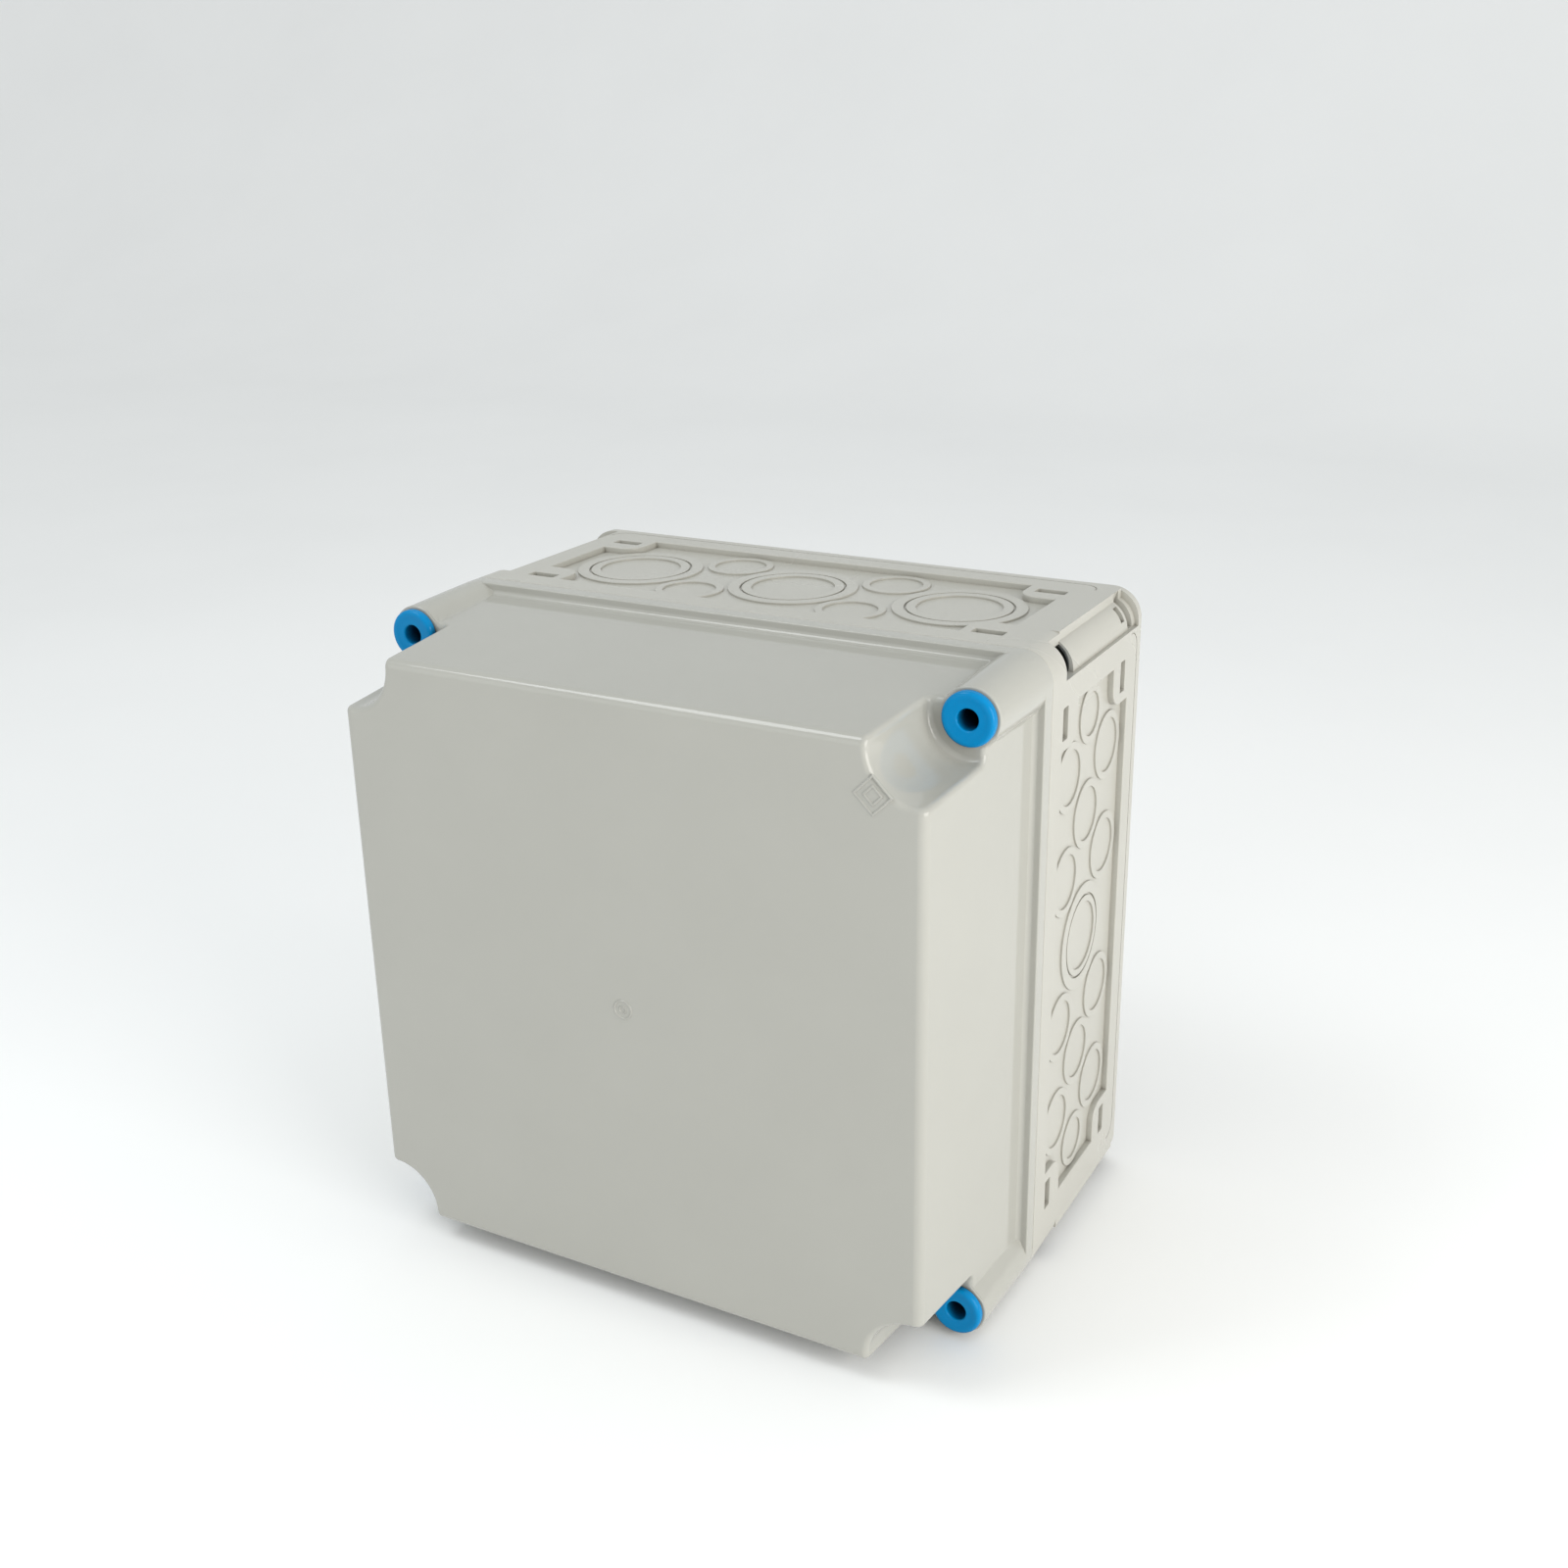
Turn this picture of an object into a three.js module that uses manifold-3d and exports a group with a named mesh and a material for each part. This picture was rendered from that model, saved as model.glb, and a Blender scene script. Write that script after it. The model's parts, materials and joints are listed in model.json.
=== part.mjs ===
// Square insulated electrical junction box: a base tray with knockouts in its four sides, a deep opaque
// cover held by four quarter-turn fasteners, and the mounting plate and terminal rail that it houses.
// Millimetres. +Z is up, +X is right as seen from the front, and the front faces -Y.
// The origin is the centre of the back face. A "depth" below is a distance in front of that face.
import * as THREE from 'three';
import { mergeVertices } from 'three/addons/utils/BufferGeometryUtils.js';
import Module from 'manifold-3d';

const wasm = await Module();
wasm.setup();

// Driving dimensions
const halfWidth = 150;
const cornerRadius = 14;
const baseDepth = 113.5;
const totalDepth = 214;
const wall = 4;
const gap = 0.3;

// Corners: fastener axis, square corner columns inside, and the channel moulded into each outer corner.
// A window in the corner opens the lock chamber, and a blind bore in the tube lies behind it.
const axisOffset = halfWidth - cornerRadius;
const columnEdge = 120.5;
const cavityHalf = 143.5;
const channel = { back: 5, step: 84, front: 98, topEdge: 141, sideEdge: 133.5 };
const tube = { x: 134.5, z: 134, radius: 13.6 };
const tubeGroove = { from: 9, to: 15, radius: 10.6 };
const tubeSlot = { from: 17.5, to: 21.8, low: 19, high: 52, radius: 11.1 };
const tubeWindow = 85;
const grooveEnd = 68;
const lockChamber = { from: 84, to: 100.5, radius: 10, mouth: 6.8, keyHalf: 9.7, keyHalfWidth: 2.7 };
const tubeBore = { x: 135.5, z: 135.3, radius: 9.5, from: 70 };

// Side walls: a raised frame around a recessed field that carries the knockouts
const field = { half: 121, back: 16.5, front: 100.5, floor: 147 };
const fieldLug = { half: 102.3, back: 36, front: 82, radius: 9 };
const slot = { x: 114.5, back: 24, front: 97, length: 14.5, width: 6, depth: 2.5 };
const rowPitch = 24;
const midRow = (field.back + field.front) / 2;
const collarHeight = 0.8;
const rimStep = { from: 8, to: 9, depth: 0.5 };
const backPocket = { near: 14, far: 112, depth: 1.5 };

// Cover
const flangeFront = 121.5;
const coverBackHalf = 145;
const coverFrontHalf = 139.5;
const edgeBevel = 3;
const coverWall = 3;
const ledgeDepth = 165.5;
const notchBackRadius = 18.5;
const notchFrontRadius = 21.3;
const shaftBore = 6.6;
const seat = { radius: 9, depth: 2.5 };
const gasketBand = { outer: 148, inner: 145, outerStep: 125.6, innerStep: 122.6, thickness: 2.2 };

// Fastener: ring head, hollow shaft and cross lug
const fastener = { head: 11.6, headDepth: 3.6, bore: 4.5, boreEnd: 110, shaft: 6.1, tip: 91, round: 1.2 };
const lug = { length: 18.4, thick: 4.4, from: 94, to: 100 };

// Inside
const plate = { half: 115, back: 22, front: 24, post: 104, postRadius: 6, hole: 2.7 };
const rail = { halfLength: 110, back: 24.3, height: 7.5, halfHeight: 17.5, web: 13.5, thick: 1, screwX: 80 };
const screwBore = 2.4;
const postBoreBack = 9;
const railZ = 10;
const terminal = { pitch: 8.2, width: 7.8, count: 7, wellZ: 9, wellRadius: 2.6 };
const cap = { x: 80, z: 129, radius: 6, hole: 3.3, stem: 2.9 };

const corners = { upper_right: 0, lower_right: 1, lower_left: 2, upper_left: 3 };
const colours = {
  lightGrey: [0xcfcfc8, 0.38, 0],
  blue: [0x0a86cf, 0.32, 0],
  rubber: [0x2b2b2b, 0.85, 0],
  steel: [0xb9bcc0, 0.35, 1],
  terminalGrey: [0x8d9296, 0.5, 0],
  terminalBlue: [0x2d5fa8, 0.5, 0],
  terminalGreen: [0x3f9a3c, 0.5, 0],
  brass: [0xc9a24a, 0.35, 1],
};
const segments = 8;
const knockoutSegments = { single: 5, double: 7 };
const cornerSegments = 5;
const part = new THREE.Group();

// Solids from geometries, and back
function solid(geometry) {
  const plain = geometry.clone();
  plain.deleteAttribute('normal');
  plain.deleteAttribute('uv');
  const merged = mergeVertices(plain, 1e-4);
  const mesh = new wasm.Mesh({
    numProp: 3,
    vertProperties: new Float32Array(merged.attributes.position.array),
    triVerts: new Uint32Array(merged.index.array),
  });
  return new wasm.Manifold(mesh);
}

function join(first, ...others) {
  return others.reduce((sum, next) => sum.add(solid(next)), solid(first));
}

function cut(body, ...tools) {
  return tools.reduce((rest, tool) => rest.subtract(solid(tool)), body);
}

function geometryOf(body) {
  const mesh = body.getMesh();
  const geometry = new THREE.BufferGeometry();
  geometry.setAttribute('position', new THREE.BufferAttribute(new Float32Array(mesh.vertProperties), 3));
  geometry.setIndex(new THREE.BufferAttribute(new Uint32Array(mesh.triVerts), 1));
  geometry.computeVertexNormals();
  return geometry;
}

function addPart(name, geometry, [color, roughness, metalness]) {
  const mesh = new THREE.Mesh(geometry, new THREE.MeshStandardMaterial({ color, roughness, metalness }));
  mesh.name = name;
  part.add(mesh);
  return mesh;
}

// A shape drawn in X and Z, extruded forwards (-Y) between two depths
function slab(shape, from, to, curveSegments = segments) {
  const geometry = new THREE.ExtrudeGeometry(shape, { depth: to - from, bevelEnabled: false, curveSegments });
  return geometry.translate(0, 0, from).rotateX(Math.PI / 2);
}

// A shape drawn in X and Y on the top side, extruded upwards between two heights
function topSlab(shape, low, high, curveSegments = segments) {
  const settings = { depth: high - low, bevelEnabled: false, curveSegments };
  return new THREE.ExtrudeGeometry(shape, settings).translate(0, 0, low);
}

// A round bar along Y between two depths
function rod(x, z, radius, from, to, sides = 2 * segments, frontRadius = radius) {
  const geometry = new THREE.CylinderGeometry(radius, frontRadius, to - from, sides);
  return geometry.translate(x, -(from + to) / 2, z);
}

function box(x0, x1, depth0, depth1, z0, z1) {
  const geometry = new THREE.BoxGeometry(x1 - x0, depth1 - depth0, z1 - z0);
  return geometry.translate((x0 + x1) / 2, -(depth0 + depth1) / 2, (z0 + z1) / 2);
}

function polygon(points) {
  return new THREE.Shape(points.map(([x, y]) => new THREE.Vector2(x, y)));
}

function circle(x, y, radius) {
  const shape = new THREE.Shape();
  shape.absarc(x, y, radius, 0, 2 * Math.PI, false);
  return shape;
}

function ring(x, y, inner, outer) {
  const shape = circle(x, y, outer);
  shape.holes.push(circle(x, y, inner));
  return shape;
}

function roundedSquare(half, radius) {
  const inner = half - radius;
  const shape = new THREE.Shape();
  shape.absarc(inner, inner, radius, 0, Math.PI / 2, false);
  shape.absarc(-inner, inner, radius, Math.PI / 2, Math.PI, false);
  shape.absarc(-inner, -inner, radius, Math.PI, 1.5 * Math.PI, false);
  shape.absarc(inner, -inner, radius, 1.5 * Math.PI, 2 * Math.PI, false);
  shape.closePath();
  return shape;
}

// A square with a smaller square missing from each corner
function steppedSquare(half, step) {
  return polygon([
    [half, -step], [half, step], [step, step], [step, half], [-step, half], [-step, step],
    [-half, step], [-half, -step], [-step, -step], [-step, -half], [step, -half], [step, -step],
  ]);
}

// A square block whose size changes from back to front
function taperedSquare(backHalf, frontHalf, from, to) {
  const diagonal = Math.SQRT2;
  const sides = [backHalf * diagonal, frontHalf * diagonal];
  const block = new THREE.CylinderGeometry(...sides, to - from, 4, 1, false, Math.PI / 4);
  return block.translate(0, -(from + to) / 2, 0);
}

// Copies of a geometry at the four corners or sides, a quarter turn apart about Y
function turned(geometry, turns) {
  return geometry.clone().rotateY((turns * Math.PI) / 2);
}

function fourTimes(geometry) {
  return [0, 1, 2, 3].map((turns) => turned(geometry, turns));
}

// ---- Base ----

function fieldShape() {
  const { half, back, front } = field;
  const nearLug = fieldLug.half + fieldLug.radius;
  const shape = new THREE.Shape();
  shape.moveTo(-fieldLug.half, -back);
  shape.lineTo(fieldLug.half, -back);
  shape.absarc(nearLug, -fieldLug.back + fieldLug.radius, fieldLug.radius, Math.PI, 1.5 * Math.PI, false);
  shape.lineTo(half, -fieldLug.back);
  shape.lineTo(half, -fieldLug.front);
  shape.absarc(nearLug, -fieldLug.front - fieldLug.radius, fieldLug.radius, Math.PI / 2, Math.PI, false);
  shape.lineTo(fieldLug.half, -front);
  shape.lineTo(-fieldLug.half, -front);
  shape.absarc(-nearLug, -fieldLug.front - fieldLug.radius, fieldLug.radius, 0, Math.PI / 2, false);
  shape.lineTo(-half, -fieldLug.front);
  shape.lineTo(-half, -fieldLug.back);
  shape.absarc(-nearLug, -fieldLug.back + fieldLug.radius, fieldLug.radius, -Math.PI / 2, 0, false);
  shape.closePath();
  return shape;
}

// A knockout is a raised collar; a double one has a second ring inside it
function knockout(x, row, radius, innerRadius = 0) {
  const y = -midRow + row * rowPitch;
  const floor = field.floor - 0.2;
  const top = field.floor + collarHeight;
  const double = innerRadius > 0;
  const arcs = double ? knockoutSegments.double : knockoutSegments.single;
  const collar = double ? 5.5 : 3.5;
  const rings = [topSlab(ring(x, y, radius, radius + collar), floor, top, arcs)];
  if (double) rings.push(topSlab(ring(x, y, innerRadius, radius - 1), floor, top, arcs));
  return rings;
}

function doubleRowSide() {
  const rings = [-84.5, 0, 84.5].flatMap((x) => knockout(x, 0, 25, 19.5));
  for (const x of [-42, 42]) {
    for (const row of [-1, 1]) rings.push(...knockout(x, row, 12.5));
  }
  return rings;
}

function tripleRowSide() {
  const rings = knockout(0, 0, 20, 16);
  for (const side of [-1, 1]) {
    for (const row of [-1, 1]) {
      rings.push(...knockout(side * 85, row, 12.5));
      rings.push(...knockout(side * 36, row, 12.5));
    }
    rings.push(...knockout(side * 60, 0, 12.5), ...knockout(side * 107, 0, 10));
  }
  return rings;
}

function slotTools() {
  const tools = [];
  for (const side of [-1, 1]) {
    for (const depth of [slot.back, slot.front]) {
      const x = side * slot.x;
      const from = depth - slot.width / 2;
      const half = slot.length / 2;
      tools.push(box(x - half, x + half, from, from + slot.width, halfWidth - slot.depth, halfWidth + 1));
    }
  }
  return tools;
}

function channelShape() {
  const { topEdge, sideEdge } = channel;
  const outside = halfWidth + 2;
  const low = Math.asin((sideEdge - tube.z) / tube.radius);
  const high = Math.acos((topEdge - tube.x) / tube.radius);
  const shape = new THREE.Shape();
  shape.moveTo(topEdge, outside);
  shape.lineTo(outside, outside);
  shape.lineTo(outside, sideEdge);
  shape.absarc(tube.x, tube.z, tube.radius, low, high, false);
  shape.closePath();
  return shape;
}

function arcBand(inner, outer, low, high) {
  const shape = new THREE.Shape();
  shape.absarc(tube.x, tube.z, outer, low, high, false);
  shape.absarc(tube.x, tube.z, inner, high, low, true);
  shape.closePath();
  return shape;
}

// Everything cut away at the upper right corner of the base
function cornerTools() {
  const degrees = Math.PI / 180;
  const { from, to, radius, mouth, keyHalf, keyHalfWidth } = lockChamber;
  const { back, front, topEdge, sideEdge } = channel;
  const outer = tube.radius + 3;
  const outside = halfWidth + 2;
  const grooveBand = arcBand(tubeGroove.radius, outer, 0, grooveEnd * degrees);
  const slotBand = arcBand(tubeSlot.radius, outer, tubeSlot.low * degrees, tubeSlot.high * degrees);
  const keySides = [axisOffset - keyHalfWidth, axisOffset + keyHalfWidth];
  return [
    slab(channelShape(), back, front, cornerSegments),
    slab(grooveBand, tubeGroove.from, tubeGroove.to, cornerSegments),
    slab(slotBand, tubeSlot.from, tubeSlot.to, cornerSegments),
    box(topEdge, outside, tubeWindow, front, sideEdge, outside),
    rod(axisOffset, axisOffset, radius, from, to, 14),
    rod(axisOffset, axisOffset, mouth, to - 1, baseDepth + 1, 12),
    box(axisOffset - keyHalf, axisOffset + keyHalf, to - 1, baseDepth + 1, ...keySides),
    rod(tubeBore.x, tubeBore.z, tubeBore.radius, tubeBore.from, from + 1, 14),
  ];
}

function buildBase() {
  const { back, step, topEdge } = channel;
  const square = fourTimes(box(axisOffset - 2, topEdge, back, step, halfWidth - 2, halfWidth));
  const tray = join(slab(roundedSquare(halfWidth, cornerRadius), 0, baseDepth), ...square);
  const cavity = slab(steppedSquare(cavityHalf, columnEdge), wall, baseDepth + 1);
  const fields = fourTimes(topSlab(fieldShape(), field.floor, halfWidth + 1, 4));
  const rimLow = halfWidth - rimStep.depth;
  const rim = fourTimes(box(-axisOffset, axisOffset, rimStep.from, rimStep.to, rimLow, halfWidth + 1));
  const slots = slotTools().flatMap(fourTimes);
  const cornerCuts = cornerTools().flatMap(fourTimes);
  const { near, far } = backPocket;
  const pockets = fourTimes(box(near, far, -1, backPocket.depth, near, far));
  let base = cut(tray, cavity, ...fields, ...rim, ...slots, ...cornerCuts, ...pockets);
  const rings = [
    ...doubleRowSide().flatMap((g) => [turned(g, 0), turned(g, 2)]),
    ...tripleRowSide().flatMap((g) => [turned(g, 1), turned(g, 3)]),
  ];
  const posts = fourTimes(
    rod(plate.post, plate.post, plate.postRadius, wall - 0.5, plate.back - gap, 12),
  );
  base = [...rings, ...posts].reduce((sum, next) => sum.add(solid(next)), base);
  const postBores = fourTimes(rod(plate.post, plate.post, screwBore, postBoreBack, plate.back + 1, 8));
  const capHole = (sx, sz) => rod(sx * cap.x, sz * cap.z, cap.hole, -1, wall + 1, 10);
  const capHoles = [capHole(-1, -1), capHole(1, -1), capHole(-1, 1), capHole(1, 1)];
  return cut(base, ...postBores, ...capHoles);
}

// ---- Cover ----

function buildCover() {
  const bevelDepth = totalDepth - edgeBevel;
  const towers = fourTimes(rod(axisOffset, axisOffset, cornerRadius, flangeFront - 1, ledgeDepth, 24));
  const shell = join(
    slab(roundedSquare(halfWidth, cornerRadius), baseDepth + gap, flangeFront),
    taperedSquare(coverBackHalf, coverFrontHalf, flangeFront - 1, bevelDepth),
    taperedSquare(coverFrontHalf, coverFrontHalf - edgeBevel, bevelDepth, totalDepth),
    ...towers,
  );
  const notchEnds = [ledgeDepth, totalDepth + 1];
  const notch = rod(axisOffset, axisOffset, notchBackRadius, ...notchEnds, 28, notchFrontRadius);
  const hollowFront = totalDepth - coverWall;
  const hollow = cut(
    solid(taperedSquare(coverBackHalf - coverWall - 1, coverFrontHalf - coverWall, baseDepth, hollowFront)),
    ...fourTimes(rod(axisOffset, axisOffset, cornerRadius + 1.5, baseDepth - 1, ledgeDepth, 24)),
    ...fourTimes(
      rod(
        axisOffset, axisOffset, notchBackRadius + coverWall, ledgeDepth - coverWall, totalDepth + 1, 24,
        notchFrontRadius + coverWall,
      ),
    ),
  );
  const groove = steppedSquare(gasketBand.outer + gap, gasketBand.outerStep + gap);
  groove.holes.push(steppedSquare(gasketBand.inner - gap, gasketBand.innerStep - gap));
  const grooveFront = baseDepth + gap + gasketBand.thickness + gap;
  const cover = cut(
    shell.subtract(hollow),
    ...fourTimes(notch),
    ...fourTimes(rod(axisOffset, axisOffset, shaftBore, baseDepth - 1, ledgeDepth + 1)),
    ...fourTimes(rod(axisOffset, axisOffset, seat.radius, ledgeDepth - seat.depth, ledgeDepth + 1)),
    slab(groove, baseDepth, grooveFront),
  );
  return coverRelief().reduce((sum, next) => sum.add(solid(next)), cover);
}

// Two nested diamond outlines near the upper right notch, and a plain ring at the centre of the front
function coverRelief() {
  const height = 0.35;
  const centre = 117.5;
  const diamond = (reach) =>
    polygon([
      [centre + reach, centre], [centre, centre + reach],
      [centre - reach, centre], [centre, centre - reach],
    ]);
  const outlines = [[8.4, 7], [4.4, 3]].map(([outer, inner]) => {
    const shape = diamond(outer);
    shape.holes.push(diamond(inner));
    return shape;
  });
  outlines.push(ring(0, 0, 3.4, 4.4));
  return outlines.map((shape) => slab(shape, totalDepth - 1, totalDepth + height));
}

function buildGasket() {
  const band = steppedSquare(gasketBand.outer, gasketBand.outerStep);
  band.holes.push(steppedSquare(gasketBand.inner, gasketBand.innerStep));
  const back = baseDepth + gap;
  return slab(band, back, back + gasketBand.thickness);
}

// ---- Quarter-turn fasteners and their sealing rings ----

function buildFastener() {
  const { head, headDepth, bore, boreEnd, shaft, tip, round } = fastener;
  const back = ledgeDepth + gap;
  const front = back + headDepth;
  const corner = round * (1 - Math.SQRT1_2);
  const profile = [
    [0, tip], [shaft - 1, tip], [shaft, tip + 1], [shaft, back], [head, back], [head, front - round],
    [head - corner, front - corner], [head - round, front], [bore + 0.5, front], [bore, front - 0.5],
    [bore, boreEnd], [0, boreEnd],
  ];
  const points = profile.map(([radius, depth]) => new THREE.Vector2(radius, depth));
  const body = new THREE.LatheGeometry(points, 18).rotateX(Math.PI).translate(axisOffset, 0, axisOffset);
  const half = lug.length / 2;
  const lugSides = [axisOffset - lug.thick / 2, axisOffset + lug.thick / 2];
  const lugBar = box(axisOffset - half, axisOffset + half, lug.from, lug.to, ...lugSides);
  const slotSides = [axisOffset - 0.8, axisOffset + 0.8];
  const driverSlot = box(axisOffset - 3.6, axisOffset + 3.6, boreEnd - 3, boreEnd + 1, ...slotSides);
  return cut(join(body, lugBar), driverSlot);
}

function buildSeal() {
  const middle = ledgeDepth - 1.2;
  const seal = new THREE.TorusGeometry(7.6, 0.9, 5, 14);
  return seal.rotateX(Math.PI / 2).translate(axisOffset, -middle, axisOffset);
}

// ---- Inside ----

function panHeadScrew(x, z, seatDepth, tipDepth, headRadius, shankRadius) {
  const head = rod(x, z, headRadius, seatDepth, seatDepth + 2.4, 12, headRadius * 0.8);
  const shank = rod(x, z, shankRadius, tipDepth, seatDepth + 0.5, 8);
  const reach = headRadius * 0.6;
  const blades = [
    box(x - reach, x + reach, seatDepth + 1.2, seatDepth + 3, z - 0.5, z + 0.5),
    box(x - 0.5, x + 0.5, seatDepth + 1.2, seatDepth + 3, z - reach, z + reach),
  ];
  return cut(join(head, shank), ...blades);
}

function buildPlate() {
  const sheet = solid(slab(roundedSquare(plate.half, 4), plate.back, plate.front, 2));
  const holes = fourTimes(rod(plate.post, plate.post, plate.hole, plate.back - 1, plate.front + 1, 10));
  const railHole = (side) => rod(side * rail.screwX, railZ, screwBore, plate.back - 1, plate.front + 1);
  const railHoles = [-1, 1].map(railHole);
  return cut(sheet, ...holes, ...railHoles);
}

function buildRail() {
  const { back, height, halfHeight, web, thick } = rail;
  const front = back + height;
  const outline = polygon([
    [-halfHeight, front], [-halfHeight, front - thick], [-web, front - thick], [-web, back], [web, back],
    [web, front - thick], [halfHeight, front - thick], [halfHeight, front], [web - thick, front],
    [web - thick, back + thick], [thick - web, back + thick], [thick - web, front],
  ]);
  const profile = profileAlongX(outline, -rail.halfLength, rail.halfLength);
  const railSlot = (x) => box(x - 5, x + 5, back - 1, back + 3, railZ - 3, railZ + 3);
  const slots = [-95, -65, -50, 50, 65, 95].map(railSlot);
  const screwHoles = [-1, 1].map((side) => rod(side * rail.screwX, railZ, 2.4, back - 1, back + 3));
  return cut(solid(profile), ...slots, ...screwHoles);
}

// An outline drawn as height above the rail and depth, extruded along X
function profileAlongX(outline, from, to) {
  const settings = { depth: to - from, bevelEnabled: false, curveSegments: 4 };
  const geometry = new THREE.ExtrudeGeometry(outline, settings);
  const place = new THREE.Matrix4().makeBasis(
    new THREE.Vector3(0, 0, 1),
    new THREE.Vector3(0, -1, 0),
    new THREE.Vector3(1, 0, 0),
  );
  return geometry.translate(0, 0, from).applyMatrix4(place).translate(0, 0, railZ);
}

const railFront = rail.back + rail.height;
const terminalFront = railFront + 40;

function terminalHousing(x) {
  const seatDepth = railFront + gap;
  const foot = rail.halfHeight + gap;
  const outline = polygon([
    [-21, seatDepth - 4], [-foot, seatDepth - 4], [-foot, seatDepth],
    [foot, seatDepth], [foot, seatDepth - 4],
    [21, seatDepth - 4], [22, seatDepth + 3], [25, seatDepth + 6], [25, seatDepth + 24], [18, seatDepth + 33],
    [14, seatDepth + 33], [14, terminalFront], [-14, terminalFront],
    [-14, seatDepth + 33], [-18, seatDepth + 33],
    [-25, seatDepth + 24], [-25, seatDepth + 6], [-22, seatDepth + 3],
  ]);
  const half = terminal.width / 2;
  const tools = [];
  for (const side of [-1, 1]) {
    const z = railZ + side * terminal.wellZ;
    tools.push(rod(x, z, terminal.wellRadius, terminalFront - 12, terminalFront + 1, 8));
    const wireHole = new THREE.CylinderGeometry(2.4, 2.4, 14, 8).rotateX(Math.PI / 2);
    tools.push(wireHole.translate(x, -(seatDepth + 18), railZ + side * 22));
  }
  return cut(solid(profileAlongX(outline, x - half, x + half)), ...tools);
}

function terminalScrew(x, side) {
  const z = railZ + side * terminal.wellZ;
  const front = terminalFront - 5;
  const body = solid(rod(x, z, terminal.wellRadius - 2 * gap, terminalFront - 12 + gap, front, 8));
  return cut(body, box(x - 3, x + 3, front - 1.2, front + 1, z - 0.4, z + 0.4));
}

function endClamp(x) {
  const seatDepth = railFront + gap;
  const foot = rail.halfHeight + gap;
  const outline = polygon([
    [-20.5, seatDepth - 4], [-foot, seatDepth - 4], [-foot, seatDepth],
    [foot, seatDepth], [foot, seatDepth - 4], [20.5, seatDepth - 4],
    [21, seatDepth + 6], [12, seatDepth + 24], [-12, seatDepth + 24], [-21, seatDepth + 6],
  ]);
  return solid(profileAlongX(outline, x - 4, x + 4));
}

function fixingCap(x, z) {
  const head = rod(x, z, cap.radius, wall + gap, wall + 3.5, 16, cap.radius - 1);
  const stem = rod(x, z, cap.stem, 1, wall + 1, 12);
  return cut(join(head, stem), rod(x, z, 2, wall + 2, wall + 4, 8));
}

// ---- Assembly ----

addPart('base', geometryOf(buildBase()), colours.lightGrey);
addPart('cover', geometryOf(buildCover()), colours.lightGrey);
addPart('cover_gasket', geometryOf(solid(buildGasket())), colours.rubber);

const fastenerGeometry = geometryOf(buildFastener());
const sealGeometry = geometryOf(solid(buildSeal()));
for (const [corner, turns] of Object.entries(corners)) {
  const upperRight = new THREE.Vector3(axisOffset, 0, axisOffset);
  const { x, z } = upperRight.applyAxisAngle(new THREE.Vector3(0, 1, 0), (turns * Math.PI) / 2);
  const place = [x - axisOffset, 0, z - axisOffset];
  addPart(`fastener_${corner}`, fastenerGeometry, colours.blue).position.set(...place);
  addPart(`fastener_seal_${corner}`, sealGeometry, colours.rubber).position.set(...place);
}

addPart('mounting_plate', geometryOf(buildPlate()), colours.steel);
const plateScrew = panHeadScrew(plate.post, plate.post, plate.front + gap, 12, 4.6, 2.1);
for (const [corner, turns] of Object.entries(corners)) {
  addPart(`plate_screw_${corner}`, turned(geometryOf(plateScrew), turns), colours.steel);
}

addPart('din_rail', geometryOf(buildRail()), colours.steel);
const railScrewSeat = rail.back + rail.thick + gap;
const railScrewTip = plate.back - 4;
const railScrew = (x) => geometryOf(panHeadScrew(x, railZ, railScrewSeat, railScrewTip, 4, 2));
addPart('rail_screw_left', railScrew(-rail.screwX), colours.steel);
addPart('rail_screw_right', railScrew(rail.screwX), colours.steel);

const firstX = (-(terminal.count - 1) / 2) * terminal.pitch;
const clampX = -firstX + terminal.pitch + 0.5;
addPart('end_clamp_left', geometryOf(endClamp(-clampX)), colours.terminalGrey);
addPart('end_clamp_right', geometryOf(endClamp(clampX)), colours.terminalGrey);
for (let index = 0; index < terminal.count; index += 1) {
  const x = firstX + index * terminal.pitch;
  const colour = [colours.terminalGreen, colours.terminalBlue][index] ?? colours.terminalGrey;
  addPart(`terminal_${index + 1}`, geometryOf(terminalHousing(x)), colour);
  addPart(`terminal_screw_${index + 1}_upper`, geometryOf(terminalScrew(x, 1)), colours.brass);
  addPart(`terminal_screw_${index + 1}_lower`, geometryOf(terminalScrew(x, -1)), colours.brass);
}

const capPlaces = { upper_right: [1, 1], lower_right: [1, -1], lower_left: [-1, -1], upper_left: [-1, 1] };
for (const [corner, [sx, sz]] of Object.entries(capPlaces)) {
  addPart(`fixing_cap_${corner}`, geometryOf(fixingCap(sx * cap.x, sz * cap.z)), colours.lightGrey);
}

export default part;
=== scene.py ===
# Looks of the electrical junction box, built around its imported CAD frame. Lengths on the box are in
# millimetres and go through MM on their way to Blender; the camera, lights and floor are in metres.
import json
import math

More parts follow.
